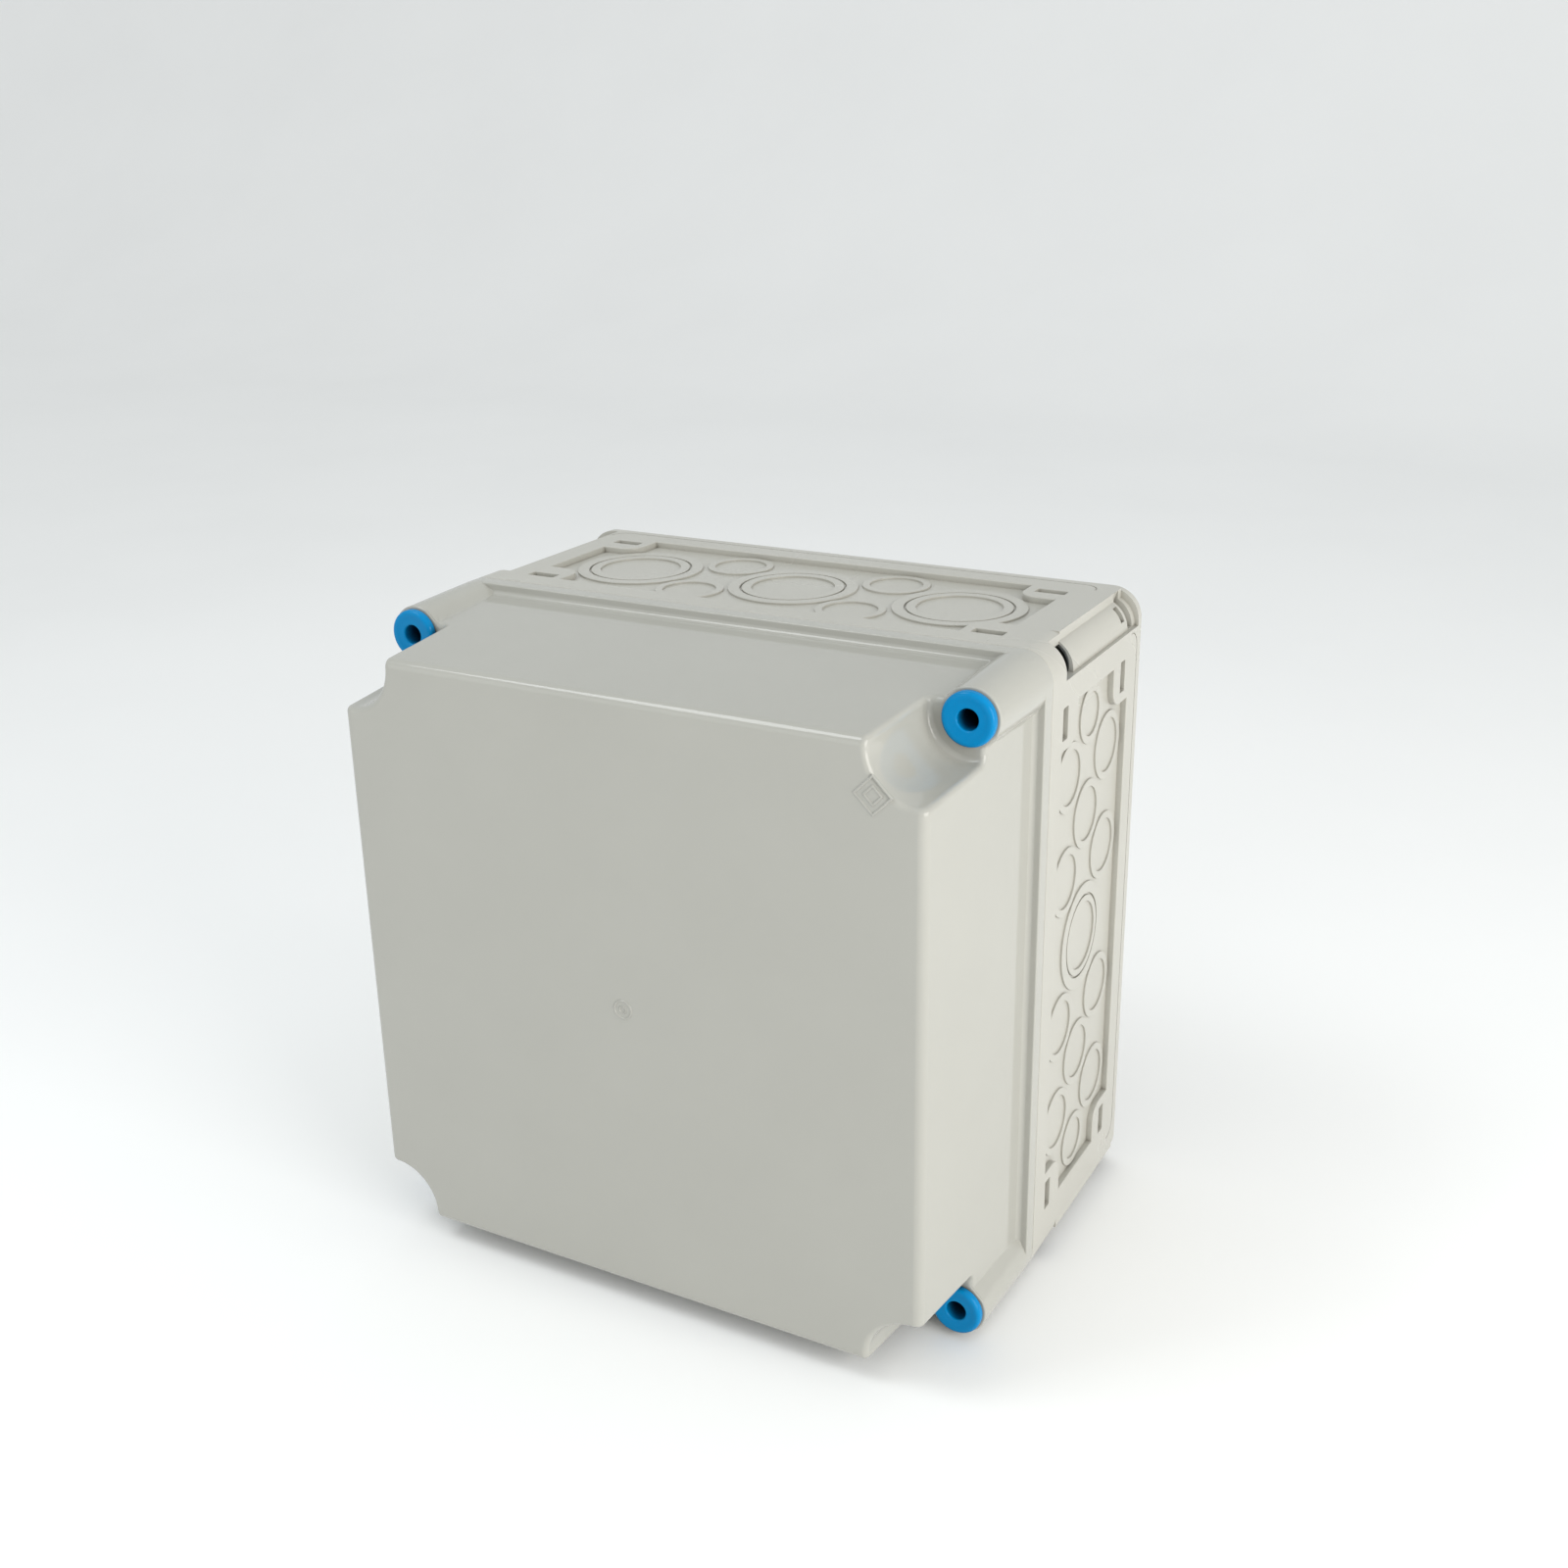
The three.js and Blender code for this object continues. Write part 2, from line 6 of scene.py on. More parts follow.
import bmesh
import bpy
import numpy as np
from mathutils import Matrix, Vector


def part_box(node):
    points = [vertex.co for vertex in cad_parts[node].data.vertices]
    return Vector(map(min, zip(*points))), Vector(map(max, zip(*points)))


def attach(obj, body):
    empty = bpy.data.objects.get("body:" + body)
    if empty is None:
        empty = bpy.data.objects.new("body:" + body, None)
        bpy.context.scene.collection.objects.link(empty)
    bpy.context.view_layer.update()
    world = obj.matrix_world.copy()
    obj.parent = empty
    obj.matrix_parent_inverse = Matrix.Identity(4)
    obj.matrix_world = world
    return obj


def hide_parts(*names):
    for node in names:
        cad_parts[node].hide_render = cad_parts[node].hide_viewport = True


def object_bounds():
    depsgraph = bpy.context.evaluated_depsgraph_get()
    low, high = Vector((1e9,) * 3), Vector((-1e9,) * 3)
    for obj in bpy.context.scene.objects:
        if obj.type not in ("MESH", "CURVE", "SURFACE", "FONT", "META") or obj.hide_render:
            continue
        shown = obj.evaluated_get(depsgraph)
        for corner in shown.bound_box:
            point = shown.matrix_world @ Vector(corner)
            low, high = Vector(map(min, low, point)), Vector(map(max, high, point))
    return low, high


MM = 0.001
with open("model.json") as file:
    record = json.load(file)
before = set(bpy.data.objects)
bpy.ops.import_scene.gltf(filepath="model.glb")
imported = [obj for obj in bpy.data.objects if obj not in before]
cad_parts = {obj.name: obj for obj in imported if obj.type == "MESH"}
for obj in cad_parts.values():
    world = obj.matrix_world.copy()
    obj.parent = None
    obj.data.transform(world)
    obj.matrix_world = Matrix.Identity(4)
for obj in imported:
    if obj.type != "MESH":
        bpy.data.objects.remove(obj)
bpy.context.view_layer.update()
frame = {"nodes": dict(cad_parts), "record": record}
corners = ("upper_right", "lower_right", "lower_left", "upper_left")

# ---- Dimensions read from the frame, and three that place the front faces ----
RELIEF = 0.35
HEAD_DEPTH = 3.6
HEAD_CLEARANCE = 0.3
base_low, base_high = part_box("base")
cover_low, cover_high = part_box("cover")
fastener_low, fastener_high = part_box("fastener_upper_right")
HALF = base_high.x / MM
SEAM = -base_low.y / MM
AXIS = (fastener_low.x + fastener_high.x) / 2 / MM
CORNER = HALF - AXIS
FRONT = -cover_low.y / MM - RELIEF
COVER_BACK = -cover_high.y / MM
HEAD_FRONT = -fastener_low.y / MM
SHAFT_TIP = -fastener_high.y / MM
HEAD_RADIUS = (fastener_high.x - fastener_low.x) / 2 / MM
HEAD_BACK = HEAD_FRONT - HEAD_DEPTH
LEDGE = HEAD_BACK - HEAD_CLEARANCE

# ---- Details of the mouldings that the frame doesn't state ----
FLANGE_FRONT = COVER_BACK + 7.7
COVER_BACK_HALF = 145.0
COVER_FRONT_HALF = 139.5
COVER_WALL = 3.0
SEAM_EDGE = 0.55
TOWER_FRONT = 12.6
NOTCH_BACK, NOTCH_FRONT = 18.5, 21.3
SHAFT_BORE = 6.6
SEAT_RADIUS, SEAT_DEPTH = 9.0, 2.5
FIELD_FLOOR = 147.0
FIELD_HALF, FIELD_BACK, FIELD_FRONT = 121.0, 16.5, 100.5
LUG_HALF, LUG_BACK, LUG_FRONT, LUG_RADIUS = 102.3, 36.0, 82.0, 9.0
MID_ROW = (FIELD_BACK + FIELD_FRONT) / 2
ROW_PITCH = 24.0
COLLAR_HEIGHT = 0.9
TUBE_X, TUBE_Z, TUBE_RADIUS = 134.5, 134.0, 13.6
CHANNEL_TOP, CHANNEL_SIDE = 141.0, 133.5
CHANNEL_BACK, CHANNEL_STEP, CHANNEL_FRONT = 5.0, 84.0, 98.0
WINDOW_BACK = 85.0
BORE_X, BORE_Z, BORE_RADIUS, BORE_BACK = 135.5, 135.3, 9.5, 70.0
CHAMBER_BACK, CHAMBER_FRONT, CHAMBER_RADIUS = 84.0, 100.5, 10.0
MOUTH_RADIUS, KEY_REACH, KEY_HALF_WIDTH = 6.8, 9.7, 2.7
COLUMN_EDGE, CAVITY_HALF, BACK_WALL = 120.5, 143.5, 4.0
POCKET_NEAR, POCKET_FAR, POCKET_DEPTH = 14, 112, 1.5
POST_X, POST_RADIUS, POST_FRONT = 104.0, 6.0, 21.7
POST_BORE, POST_BORE_BACK = 2.4, 9.0
CAP_X, CAP_Z, CAP_HOLE = 80.0, 129.0, 3.3


# ---- Camera, light and floor ----
def add_camera():
    data = bpy.data.cameras.new("camera")
    data.sensor_width = 36.0
    data.lens = 41.06
    data.shift_x = -0.0091
    data.shift_y = -0.0147
    camera = bpy.data.objects.new("camera", data)
    distance, azimuth, elevation = 0.9346, math.radians(26.87), math.radians(22.53)
    flat = distance * math.cos(elevation)
    height = distance * math.sin(elevation)
    camera.location = (flat * math.sin(azimuth), -flat * math.cos(azimuth), height)
    camera.rotation_euler = (math.radians(69.89), math.radians(0.79), math.radians(28.36))
    bpy.context.scene.collection.objects.link(camera)
    bpy.context.scene.camera = camera


def add_area_light(name, location, target, size, power, color=(1, 1, 1)):
    data = bpy.data.lights.new(name, "AREA")
    data.shape = "RECTANGLE"
    data.size, data.size_y = size
    data.energy = power
    data.color = color
    light = bpy.data.objects.new(name, data)
    light.location = location
    light.rotation_euler = (Vector(target) - Vector(location)).to_track_quat("-Z", "Y").to_euler()
    bpy.context.scene.collection.objects.link(light)


def add_lights():
    scene = bpy.context.scene
    scene.view_settings.view_transform = "Standard"
    world = bpy.data.worlds.new("studio")
    world.use_nodes = True
    background = world.node_tree.nodes["Background"]
    background.inputs["Color"].default_value = (0.97, 1.0, 1.0, 1)
    background.inputs["Strength"].default_value = 0.76
    scene.world = world
    middle = (0, -0.1, 0)
    add_area_light("window_right", (1.45, -0.55, 0.35), middle, (1.1, 1.1), 18.0, (1.0, 0.98, 0.94))
    add_area_light("soft_top", (-0.55, -0.6, 1.15), middle, (0.55, 0.55), 4.6, (0.94, 0.98, 1.0))
    add_area_light("soft_front", (-0.9, -1.5, 0.5), middle, (0.9, 0.9), 1.5, (0.96, 0.99, 1.0))


def add_floor():
    """A pale sweep: a floor that curves up a long way behind the box."""
    floor_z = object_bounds()[0][2]
    reach, bend, rise, radius, steps = 9.0, 2.0, 3.5, 1.2, 16
    profile = [(-reach, 0.0)]
    for i in range(steps + 1):
        a = i / steps * math.pi / 2
        profile.append((bend + radius * math.sin(a), radius * (1 - math.cos(a))))
    profile.append((bend + radius, rise))
    verts = [(x, y, floor_z + z) for y, z in profile for x in (-reach, reach)]
    faces = [(2 * i, 2 * i + 1, 2 * i + 3, 2 * i + 2) for i in range(len(profile) - 1)]
    mesh = bpy.data.meshes.new("floor")
    mesh.from_pydata(verts, [], faces)
    mesh.shade_smooth()
    floor = bpy.data.objects.new("floor", mesh)
    bpy.context.scene.collection.objects.link(floor)
    nodes, links, shader = new_material("pale_floor", floor)
    noise = noise_node(nodes, links, 3.0, 3)
    color = ramp_between(nodes, links, noise.outputs["Fac"], (0.93, 0.93, 0.93), (0.95, 0.95, 0.95))
    links.new(color, shader.inputs["Base Color"])
    shader.inputs["Roughness"].default_value = 0.9


# ---- Materials ----
NOISE_LOW, NOISE_HIGH = 0.3, 0.7


def new_material(name, *objects):
    material = bpy.data.materials.new(name)
    material.use_nodes = True
    nodes, links = material.node_tree.nodes, material.node_tree.links
    for obj in objects:
        obj.data.materials.clear()
        obj.data.materials.append(material)
    return nodes, links, nodes["Principled BSDF"]


def noise_node(nodes, links, scale, detail, distortion=0.0):
    coordinates = nodes.new("ShaderNodeTexCoord")
    noise = nodes.new("ShaderNodeTexNoise")
    noise.inputs["Scale"].default_value = scale
    noise.inputs["Detail"].default_value = detail
    noise.inputs["Distortion"].default_value = distortion
    links.new(coordinates.outputs["Object"], noise.inputs["Vector"])
    return noise


def ramp_between(nodes, links, factor, low, high):
    """A colour that runs from low to high over the middle of a noise's range."""
    ramp = nodes.new("ShaderNodeValToRGB")
    ramp.color_ramp.elements[0].position = NOISE_LOW
    ramp.color_ramp.elements[1].position = NOISE_HIGH
    ramp.color_ramp.elements[0].color = (*low, 1)
    ramp.color_ramp.elements[1].color = (*high, 1)
    links.new(factor, ramp.inputs["Fac"])
    return ramp.outputs["Color"]


def mapped(nodes, links, factor, start, end, low, high):
    """A factor's range from start to end, mapped on to low to high."""
    spread = nodes.new("ShaderNodeMapRange")
    spread.inputs["From Min"].default_value = start
    spread.inputs["From Max"].default_value = end
    spread.inputs["To Min"].default_value = low
    spread.inputs["To Max"].default_value = high
    links.new(factor, spread.inputs["Value"])
    return spread.outputs["Result"]


def cavity_mask(nodes, links, distance, amount, start=0.15, end=0.85):
    """A factor that grows to amount where a surface is shut in on the scale of distance."""
    occlusion = nodes.new("ShaderNodeAmbientOcclusion")
    occlusion.inputs["Distance"].default_value = distance * MM
    occlusion.samples = 6
    return mapped(nodes, links, occlusion.outputs["AO"], start, end, amount, 0.0)


def mixed_color(nodes, links, factor, first, second):
    """A linked colour mixed towards a fixed one."""
    mix = nodes.new("ShaderNodeMix")
    mix.data_type = "RGBA"
    mix.inputs["B"].default_value = (*second, 1)
    links.new(factor, mix.inputs["Factor"])
    links.new(first, mix.inputs["A"])
    return mix.outputs["Result"]


def bump_node(nodes, links, height, strength, distance):
    bump = nodes.new("ShaderNodeBump")
    bump.inputs["Strength"].default_value = strength
    bump.inputs["Distance"].default_value = distance * MM
    links.new(height, bump.inputs["Height"])
    return bump


def moulded_plastic(
    name, color, roughness, grain, objects, corner_dust_and_shade=0.35, deep=0.6, relief=0.12, sheen=0.5, open_end=0.3
):
    """Moulded plastic: faint mottling, orange peel, softened edges, dust and painted shade in the corners, and
    painted shade down the deep bores.
    """
    nodes, links, shader = new_material(name, *objects)
    base = np.array(color)
    mottle, edge, bevel = 0.012, 0.12, 0.25
    cloud = noise_node(nodes, links, 22.0, 4)
    darker, lighter = tuple(base * (1 - mottle)), tuple(base * (1 + mottle))
    mottled = ramp_between(nodes, links, cloud.outputs["Fac"], darker, lighter)
    # dust and painted shade in the corners, and painted shade, near black, down the deep bores
    corner_size, bore_size = 3, 22
    dust_and_shade_tone = tuple(base * np.array((0.45, 0.4, 0.31)))
    # the corners darken through an occlusion mask: partly dust, partly painted shade
    dust_and_shade = mixed_color(nodes, links, cavity_mask(nodes, links, corner_size, corner_dust_and_shade), mottled, dust_and_shade_tone)
    # painted shade: deep bores and hollows go near black through a wide occlusion mask
    shut = cavity_mask(nodes, links, bore_size, deep, 0.02, open_end)
    dust_and_shade = mixed_color(nodes, links, shut, dust_and_shade, (0.004, 0.004, 0.004))
    # rubbed, slightly paler edges where the softened normal leaves the true one
    rounded = nodes.new("ShaderNodeBevel")
    rounded.samples = 4
    rounded.inputs["Radius"].default_value = bevel * MM
    geometry = nodes.new("ShaderNodeNewGeometry")
    agree = nodes.new("ShaderNodeVectorMath")
    agree.operation = "DOT_PRODUCT"
    links.new(rounded.outputs["Normal"], agree.inputs[0])
    links.new(geometry.outputs["Normal"], agree.inputs[1])
    leaves = mapped(nodes, links, agree.outputs["Value"], 0.75, 0.99, edge, 0.0)
    worn = mixed_color(nodes, links, leaves, dust_and_shade, tuple(np.minimum(base * 1.18, 1.0)))
    links.new(worn, shader.inputs["Base Color"])
    # gloss that varies a little, over a fine grain
    smear = noise_node(nodes, links, 9.0, 5, 0.6).outputs["Fac"]
    gloss = mapped(nodes, links, smear, NOISE_LOW, NOISE_HIGH, roughness * 0.85, roughness * 1.2)
    links.new(gloss, shader.inputs["Roughness"])
    peel = noise_node(nodes, links, grain, 3)
    bump = bump_node(nodes, links, peel.outputs["Fac"], 0.12, relief)
    links.new(rounded.outputs["Normal"], bump.inputs["Normal"])
    links.new(bump.outputs["Normal"], shader.inputs["Normal"])
    shader.inputs["IOR"].default_value = 1.5
    shader.inputs["Specular IOR Level"].default_value = sheen


def foam_rubber(name, objects):
    """Black closed-cell foam: matt, with fine cells."""
    nodes, links, shader = new_material(name, *objects)
    cells = noise_node(nodes, links, 900.0, 4).outputs["Fac"]
    color = ramp_between(nodes, links, cells, (0.018, 0.018, 0.02), (0.05, 0.05, 0.052))
    links.new(color, shader.inputs["Base Color"])
    gloss = mapped(nodes, links, cells, NOISE_LOW, NOISE_HIGH, 0.75, 0.95)
    links.new(gloss, shader.inputs["Roughness"])
    bump = bump_node(nodes, links, cells, 0.5, 0.15)
    links.new(bump.outputs["Normal"], shader.inputs["Normal"])


def zinc_plate(name, objects, roughness, streak):
    """Zinc-plated steel: bright, a little streaky, with a faint passivation tint."""
    nodes, links, shader = new_material(name, *objects)
    coordinates = nodes.new("ShaderNodeTexCoord")
    stretch = nodes.new("ShaderNodeMapping")
    stretch.inputs["Scale"].default_value = (streak, 40, 900)
    grain = nodes.new("ShaderNodeTexNoise")
    grain.inputs["Scale"].default_value = 1.0
    grain.inputs["Detail"].default_value = 6
    links.new(coordinates.outputs["Object"], stretch.inputs["Vector"])
    links.new(stretch.outputs["Vector"], grain.inputs["Vector"])
    streaks = grain.outputs["Fac"]
    tint = noise_node(nodes, links, 30.0, 3)
    color = ramp_between(nodes, links, tint.outputs["Fac"], (0.58, 0.6, 0.63), (0.72, 0.71, 0.66))
    links.new(color, shader.inputs["Base Color"])
    gloss = mapped(nodes, links, streaks, NOISE_LOW, NOISE_HIGH, roughness * 0.7, roughness * 1.4)
    links.new(gloss, shader.inputs["Roughness"])
    bump = bump_node(nodes, links, streaks, 0.15, 0.05)
    links.new(bump.outputs["Normal"], shader.inputs["Normal"])
    shader.inputs["Metallic"].default_value = 1.0


# ---- Mesh helpers ----
def new_object(name, verts, faces):
    mesh = bpy.data.meshes.new(name)
    mesh.from_pydata([tuple(v) for v in verts], [], faces)
    mesh.validate()
    obj = bpy.data.objects.new(name, mesh)
    bpy.context.scene.collection.objects.link(obj)
    return obj


def shade(obj, angle):
    obj.data.shade_smooth()
    obj.data.set_sharp_from_angle(angle=math.radians(angle))


def weighted(obj):
    modifier = obj.modifiers.new("weighted_normals", "WEIGHTED_NORMAL")
    modifier.keep_sharp = True
    modifier.mode = "FACE_AREA"
    modifier.weight = 80


def arc(cx, cy, radius, start, end, steps):
    angles = np.linspace(math.radians(start), math.radians(end), steps + 1)
    return [(cx + radius * math.cos(a), cy + radius * math.sin(a)) for a in angles]


def circle(cx, cy, radius, steps):
    return arc(cx, cy, radius, 0, 360 * (steps - 1) / steps, steps - 1)


def rectangle(x0, x1, y0, y1):
    return [(x0, y0), (x1, y0), (x1, y1), (x0, y1)]


def rounded_rectangle(x0, x1, y0, y1, radius, steps):
    return (
        arc(x1 - radius, y1 - radius, radius, 0, 90, steps)
        + arc(x0 + radius, y1 - radius, radius, 90, 180, steps)
        + arc(x0 + radius, y0 + radius, radius, 180, 270, steps)
        + arc(x1 - radius, y0 + radius, radius, 270, 360, steps)
    )


def offset(outline, distance):
    """Moves a closed counter-clockwise outline outwards, with mitred corners."""
    points = np.array(outline, float)
    forward = np.roll(points, -1, 0) - points
    forward /= np.linalg.norm(forward, axis=1)[:, None]
    normal = np.stack([forward[:, 1], -forward[:, 0]], 1)
    before = np.roll(normal, 1, 0)
    mitre = (normal + before) / (1 + np.sum(normal * before, 1))[:, None]
    return points + mitre * distance


def prism(outline, low, high, low_edge=0.0, high_edge=0.0, steps=4):
    """A solid from a closed outline, as (verts, faces) in outline x, y and height. A positive edge radius
    rounds that end. A negative one flares the end out and past it, to round the rim of a hole it cuts."""
    rings = []
    overshoot = 1.0

    def add_ring(distance, height):
        ring = offset(outline, distance) if abs(distance) > 1e-9 else np.array(outline, float)
        rings.append([(x, y, height) for x, y in ring])

    def add_end(end, inward, radius):
        quarter = []
        for i in range(steps + 1):
            a = i / steps * math.pi / 2
            side = (math.cos(a) - 1) * abs(radius) * (1 if radius > 0 else -1)
            quarter.append((side, end - inward * abs(radius) * (1 - math.sin(a))))
        if radius < 0:
            quarter.append((abs(radius), end + inward * overshoot))
        return quarter

    ends = add_end(low, -1, low_edge) if low_edge else [(0.0, low)]
    for distance, height in reversed(ends):
        add_ring(distance, height)
    ends = add_end(high, 1, high_edge) if high_edge else [(0.0, high)]
    for distance, height in ends:
        add_ring(distance, height)
    count = len(outline)
    verts = [v for ring in rings for v in ring]
    faces = [tuple(range(count - 1, -1, -1)), tuple(range(len(verts) - count, len(verts)))]
    for r in range(len(rings) - 1):
        for i in range(count):
            j = (i + 1) % count
            faces.append((r * count + i, r * count + j, (r + 1) * count + j, (r + 1) * count + i))
    return verts, faces


def revolved(profile, cx, cy, steps):
    """A profile of (radius, height) turned about a line. It is a loop, or starts and ends on the line."""
    verts, faces, rings = [], [], []
    for radius, height in profile:
        if radius < 1e-6:
            rings.append([len(verts)])
            verts.append((cx, cy, height))
        else:
            rings.append(list(range(len(verts), len(verts) + steps)))
            verts += [(x, y, height) for x, y in circle(cx, cy, radius, steps)]
    closed = len(rings[0]) > 1
    for a, b in zip(rings, rings[1:] + (rings[:1] if closed else [])):
        for i in range(steps):
            j = (i + 1) % steps
            if len(a) == 1 and len(b) == 1:
                continue
            if len(a) == 1:
                faces.append((a[0], b[j], b[i]))
            elif len(b) == 1:
                faces.append((a[i], a[j], b[0]))
            else:
                faces.append((a[i], a[j], b[j], b[i]))
    return verts, faces


def forward_facing(solid):
    """Outline x, y and height become X, Z and depth in front of the back face."""
    verts, faces = solid
    return [(x, -h, z) for x, z, h in verts], faces


def quarter_turned(solid, turns):
    verts, faces = solid
    for _ in range(turns):
        verts = [(z, y, -x) for x, y, z in verts]
    return verts, faces


def combined(name, solids):
    """One object from several closed solids, with every face turned outwards."""
    verts, faces = [], []
    for solid_verts, solid_faces in solids:
        start = len(verts)
        verts += [(x * MM, y * MM, z * MM) for x, y, z in solid_verts]
        faces += [tuple(start + i for i in face) for face in solid_faces]
    obj = new_object(name, verts, faces)
    work = bmesh.new()
    work.from_mesh(obj.data)
    bmesh.ops.recalc_face_normals(work, faces=work.faces)
    work.to_mesh(obj.data)
    work.free()
    return obj


def boolean(obj, operation, tool):
    modifier = obj.modifiers.new("boolean", "BOOLEAN")
    modifier.operation = operation
    modifier.solver = "MANIFOLD"
    modifier.object = tool
    bpy.context.view_layer.update()
    mesh = bpy.data.meshes.new_from_object(obj.evaluated_get(bpy.context.evaluated_depsgraph_get()))
    obj.modifiers.clear()
    obj.data = mesh
    bpy.data.objects.remove(tool)


def all_turns(solids):
    return [quarter_turned(solid, turns) for solid in solids for turns in range(4)]


# ---- Base ----
def field_outline():
    """The recessed field of one side: a rectangle with a lug reaching into each corner."""
    near, steps = LUG_HALF + LUG_RADIUS, 10
    right = [(LUG_HALF, -FIELD_BACK)]
    right += arc(near, -LUG_BACK + LUG_RADIUS, LUG_RADIUS, 180, 270, steps)
    right += [(FIELD_HALF, -LUG_BACK), (FIELD_HALF, -LUG_FRONT)]
    right += arc(near, -LUG_FRONT - LUG_RADIUS, LUG_RADIUS, 90, 180, steps)
    right += [(LUG_HALF, -FIELD_FRONT)]
    left = [(-x, y) for x, y in reversed(right)]
    return list(reversed(right + left))


def raised_ring(x, y, inner, outer, steps):
    """A low ring with softened edges, standing on the floor of the field."""
    low, high, edge = FIELD_FLOOR - 0.5, FIELD_FLOOR + COLLAR_HEIGHT, 0.22
    profile = [(inner, low), (outer, low), (outer, high - edge), (outer - 0.3 * edge, high - 0.3 * edge)]
    profile += [(outer - edge, high), (inner + edge, high), (inner + 0.3 * edge, high - 0.3 * edge)]
    profile.append((inner, high - edge))
    return revolved(profile, x, y, steps)


def knockout(x, row, radius, inner=0.0, steps=64):
    """A knockout is a raised collar; a double one has a second ring inside it."""
    y = -MID_ROW + row * ROW_PITCH
    collar, groove = (5.5, 1.0) if inner else (3.5, 0.0)
    rings = [raised_ring(x, y, radius, radius + collar, steps)]
    if inner:
        rings.append(raised_ring(x, y, inner, radius - groove, steps))
    return rings


def double_row_side():
    """Three double knockouts, with four small ones between them in two rows."""
    solids = []
    for x in (-84.5, 0, 84.5):
        solids += knockout(x, 0, 25, 19.5, 96)
    for x in (-42, 42):
        solids += knockout(x, -1, 12.5) + knockout(x, 1, 12.5)
    return solids


def triple_row_side():
    """One double knockout in the middle of three rows of small ones."""
    solids = knockout(0, 0, 20, 16, 88)
    for side in (-1, 1):
        for x in (85, 36):
            solids += knockout(side * x, -1, 12.5) + knockout(side * x, 1, 12.5)
        solids += knockout(side * 60, 0, 12.5) + knockout(side * 107, 0, 10)
    return solids


def slot_tools():
    """The four short slots of one side."""
    half_length, half_width, depth, corner = 14.5 / 2, 6.0 / 2, 2.5, 0.6
    tools = []
    for x in (-114.5, 114.5):
        for y in (-24.0, -97.0):
            ends = (x - half_length, x + half_length, y - half_width, y + half_width)
            outline = rounded_rectangle(*ends, corner, 3)
            tools.append(prism(outline, HALF - depth, HALF, high_edge=-0.3, steps=3))
    return tools


def inset_line_tool():
    """The fine line that runs along the rear rim of each side and curves forwards at its ends."""
    depth, reach, bend, width, cut = 5.4, 132.0, 8.0, 0.55, 0.4
    y, x, narrow = -(depth + bend), reach - bend, bend - width
    outer = arc(x, y, bend, 0, 90, 8) + arc(-x, y, bend, 90, 180, 8)
    inner = arc(-x, y, narrow, 180, 90, 8) + arc(x, y, narrow, 90, 0, 8)
    return prism(outer + inner, HALF - cut, HALF + 1)


def channel_outline():
    """The corner channel: open to the outside, and bounded on the inside by the tube in it."""
    low = math.degrees(math.asin((CHANNEL_SIDE - TUBE_Z) / TUBE_RADIUS))
    high = math.degrees(math.acos((CHANNEL_TOP - TUBE_X) / TUBE_RADIUS))
    outside = HALF + 3
    tube = arc(TUBE_X, TUBE_Z, TUBE_RADIUS, high, low, 28)
    return [(outside, CHANNEL_SIDE), (outside, outside), (CHANNEL_TOP, outside)] + tube


def tube_band(depth, low, high):
    """Part of a ring round the tube, cut depth deep into it between two angles."""
    outer, inner = TUBE_RADIUS + 3.5, TUBE_RADIUS - depth
    return arc(TUBE_X, TUBE_Z, outer, low, high, 16) + arc(TUBE_X, TUBE_Z, inner, high, low, 16)


def corner_tools():
    """Cuts for a corner: channel, two grooves, window, lock chamber, its mouth, and the tube's bore."""
    window = rectangle(CHANNEL_TOP, HALF + 3, CHANNEL_SIDE, HALF + 3)
    ends = (AXIS - KEY_REACH, AXIS + KEY_REACH)
    key = rectangle(*ends, AXIS - KEY_HALF_WIDTH, AXIS + KEY_HALF_WIDTH)
    solids = [
        prism(channel_outline(), CHANNEL_BACK, CHANNEL_FRONT),
        prism(tube_band(3.0, 0, 68), 9.0, 15.0),
        prism(tube_band(2.5, 19, 52), 17.5, 21.8),
        prism(window, WINDOW_BACK, CHANNEL_FRONT),
        prism(circle(AXIS, AXIS, CHAMBER_RADIUS, 64), CHAMBER_BACK, CHAMBER_FRONT),
        prism(circle(AXIS, AXIS, MOUTH_RADIUS, 48), CHAMBER_FRONT - 1, SEAM, high_edge=-0.4),
        prism(key, CHAMBER_FRONT - 1, SEAM + 1),
        prism(circle(BORE_X, BORE_Z, BORE_RADIUS, 56), BORE_BACK, CHAMBER_BACK + 1),
    ]
    return [forward_facing(s) for s in solids]


def stepped_square(half, step, radius):
    """A square with a smaller square missing from each corner, its inward corners rounded."""
    corner = arc(half - 1, step - 1, 1, 0, 90, 3)
    corner += arc(step + radius, step + radius, radius, 270, 180, 6)
    corner += arc(step - 1, half - 1, 1, 0, 90, 3)
    points = []
    for turns in range(4):
        a = turns * math.pi / 2
        sine, cosine = math.sin(a), math.cos(a)
        points += [(x * cosine - y * sine, x * sine + y * cosine) for x, y in corner]
    return points


def base_tray():
    """The open tray with its four square corner blocks and the cavity."""
    outline = rounded_rectangle(-HALF, HALF, -HALF, HALF, CORNER, 20)
    tray = prism(outline, 0, SEAM, low_edge=1.0, high_edge=SEAM_EDGE)
    base = combined("base_tray", [forward_facing(tray)])
    square = prism(rectangle(AXIS - 2, CHANNEL_TOP, HALF - 2, HALF), CHANNEL_BACK, CHANNEL_STEP)
    boolean(base, "UNION", combined("tool", all_turns([forward_facing(square)])))
    outline = stepped_square(CAVITY_HALF, COLUMN_EDGE, 3)
    cavity = prism(outline, BACK_WALL, SEAM, low_edge=2.0, high_edge=-0.4)
    boolean(base, "DIFFERENCE", combined("tool", [forward_facing(cavity)]))
    return base


